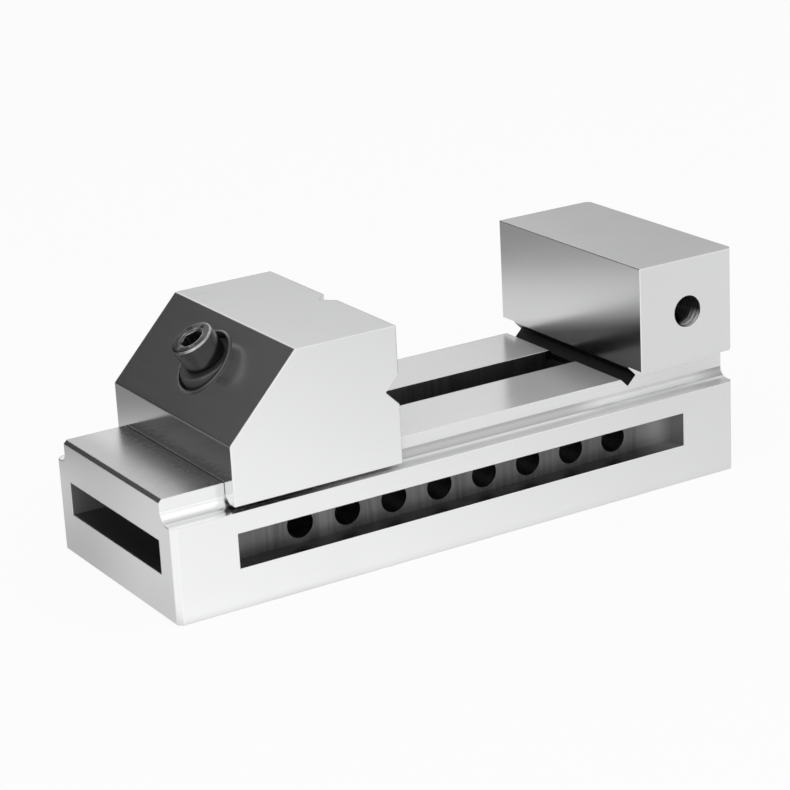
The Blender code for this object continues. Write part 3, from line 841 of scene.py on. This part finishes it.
def makeFloor(setup):
    bm = bmesh.new()
    bmesh.ops.create_grid(bm, x_segments=1, y_segments=1, size=setup["floorSize"] / 2)
    material, tree, shader = newFinish("pale floor")
    shader.inputs["Base Color"].default_value = grey(setup["floorColour"])
    shader.inputs["Roughness"].default_value = 0.9
    shader.inputs["Specular IOR Level"].default_value = 0.1
    camera, glossy, clear = rayKinds(tree)
    x, y, z = parts(tree, tree.nodes.new("ShaderNodeTexCoord").outputs["Object"])
    right = rise(tree, x, *setup["rightFade"], setup["frontTone"], setup["frontTone"] * setup["rightTone"])
    far = calc(tree, "ADD", y, calc(tree, "MULTIPLY", x, setup["farLean"]))
    behind = rise(tree, far, *setup["farFade"], setup["behindTone"], setup["behindTone"] * setup["farTone"])
    fromFoot = calc(tree, "ABSOLUTE", calc(tree, "SUBTRACT", x, setup["footPlace"]))
    foot = rise(tree, fromFoot, 0.0, setup["footReach"], setup["footTone"], 1.0)
    across = calc(tree, "ADD", y, calc(tree, "MULTIPLY", x, setup["streakLean"]))
    fromStreak = calc(tree, "ABSOLUTE", calc(tree, "SUBTRACT", across, setup["streakPlace"]))
    streak = rise(tree, fromStreak, 0.0, setup["streakReach"], setup["streakTone"], 1.0)
    behind = calc(tree, "MULTIPLY", behind, calc(tree, "MULTIPLY", foot, streak))
    tone = between(tree, rise(tree, y, *setup["behindFade"]), right, behind)
    seen = between(tree, glossy, 1.0, tone)
    glow = tree.nodes.new("ShaderNodeEmission")
    plug(tree, glow.inputs["Strength"], seen)
    lifted = calc(tree, "MAXIMUM", calc(tree, "MAXIMUM", camera, glossy), clear)
    lift = calc(tree, "MULTIPLY", lifted, setup["floorLift"])
    mixed = tree.nodes.new("ShaderNodeMixShader")
    plug(tree, mixed.inputs[0], lift)
    plug(tree, mixed.inputs[1], shader.outputs[0])
    plug(tree, mixed.inputs[2], glow.outputs[0])
    plug(tree, tree.nodes["Material Output"].inputs["Surface"], mixed.outputs[0])
    floor = meshObject("floor", bm, material)
    floor.location.z = -0.0002


def makeWorld(setup):
    world = bpy.data.worlds.new("studio")
    world.use_nodes = True
    bpy.context.scene.world = world
    tree = world.node_tree
    background = tree.nodes["Background"]
    direction = tree.nodes.new("ShaderNodeTexCoord").outputs["Generated"]
    x, y, z = parts(tree, direction)
    toRight = vectorCalc(tree, "DOT_PRODUCT", direction, setup["skyRight"])
    sky = calc(tree, "MULTIPLY", rise(tree, z, *setup["skyFade"], *setup["skyTones"]),
               rise(tree, toRight, *setup["skyRightFade"], 1.0, setup["skyRightTone"]))
    inFront = calc(tree, "MULTIPLY", rise(tree, y, *setup["skyFrontFade"]),
                   calc(tree, "GREATER_THAN", z, 0))
    sky = between(tree, inFront, sky, setup["skyFrontTone"])
    sideways = vectorCalc(tree, "NORMALIZE", vectorCalc(tree, "MULTIPLY", direction, (1, 1, 0)))
    facing = vectorCalc(tree, "DOT_PRODUCT", sideways, setup["screenAt"])
    screened = calc(tree, "MULTIPLY", rise(tree, facing, *setup["screenEdge"]),
                    rise(tree, z, *setup["screenTop"]))
    screen = calc(tree, "MULTIPLY", rise(tree, z, *setup["screenFade"], *setup["screenTones"]),
                  rise(tree, x, *setup["screenSide"], 1.0, setup["screenSideTone"]))
    seen = between(tree, screened, sky, screen)
    camera, glossy, clear = rayKinds(tree)
    level = between(tree, glossy, setup["worldLight"], seen)
    level = between(tree, calc(tree, "MAXIMUM", camera, clear), level, 1.0)
    plug(tree, background.inputs["Strength"], level)
    background.inputs["Color"].default_value = grey(1)


def makeLamps(setup):
    for i, (place, size, power) in enumerate(setup["lamps"]):
        lamp = bpy.data.lights.new(f"soft lamp {i + 1}", "AREA")
        lamp.size = size
        lamp.energy = power
        stand = bpy.data.objects.new(lamp.name, lamp)
        stand.location = place
        stand.rotation_euler = (-Vector(place)).to_track_quat("-Z", "Y").to_euler()
        stand.visible_glossy = False  # no white squares in the ground faces
        bpy.context.scene.collection.objects.link(stand)


photoCamera = {
    "target": (-0.00215, 0, 0.0358),
    "distance": 0.7625,
    "turn": 30.89,  # degrees round to the left
    "rise": 18.92,
    "roll": -3.05,
    "lens": 117.75,
}


def makeCamera(setup):
    turn, climb, roll = (math.radians(setup[key]) for key in ("turn", "rise", "roll"))
    back = Vector((-math.sin(turn) * math.cos(climb), -math.cos(turn) * math.cos(climb), math.sin(climb)))
    right = (-back).cross(Vector((0, 0, 1))).normalized()
    up = right.cross(-back)
    across = right * math.cos(roll) + up * math.sin(roll)
    above = up * math.cos(roll) - right * math.sin(roll)
    camera = bpy.data.cameras.new("photo camera")
    camera.sensor_width = 36
    camera.lens = setup["lens"]
    camera.clip_start, camera.clip_end = 0.01, 30
    stand = bpy.data.objects.new("photo camera", camera)
    place = Matrix.Translation(Vector(setup["target"]) + back * setup["distance"])
    stand.matrix_world = place @ Matrix((across, above, back)).transposed().to_4x4()
    bpy.context.scene.collection.objects.link(stand)
    bpy.context.scene.camera = stand


makeCamera(photoCamera)
dressBody()
blackScrewSteel = turnedSteel("black oxide", blackOxide)
makePullDownScrew(screwLook, blackScrewSteel)
makeBallWasher(washerLook, turnedSteel("ball washer steel", washerSteel))
makeStopThread(stopThread, turnedSteel("tapped hole steel", shadedHoleSteel))
print("screw, washer and stop thread made")
dressSmallSteel(blackScrewSteel)
makeFloor(studio)
makeWorld(studio)
makeLamps(studio)
bpy.context.scene.view_settings.view_transform = "Standard"
bpy.context.view_layer.update()
print("studio set")
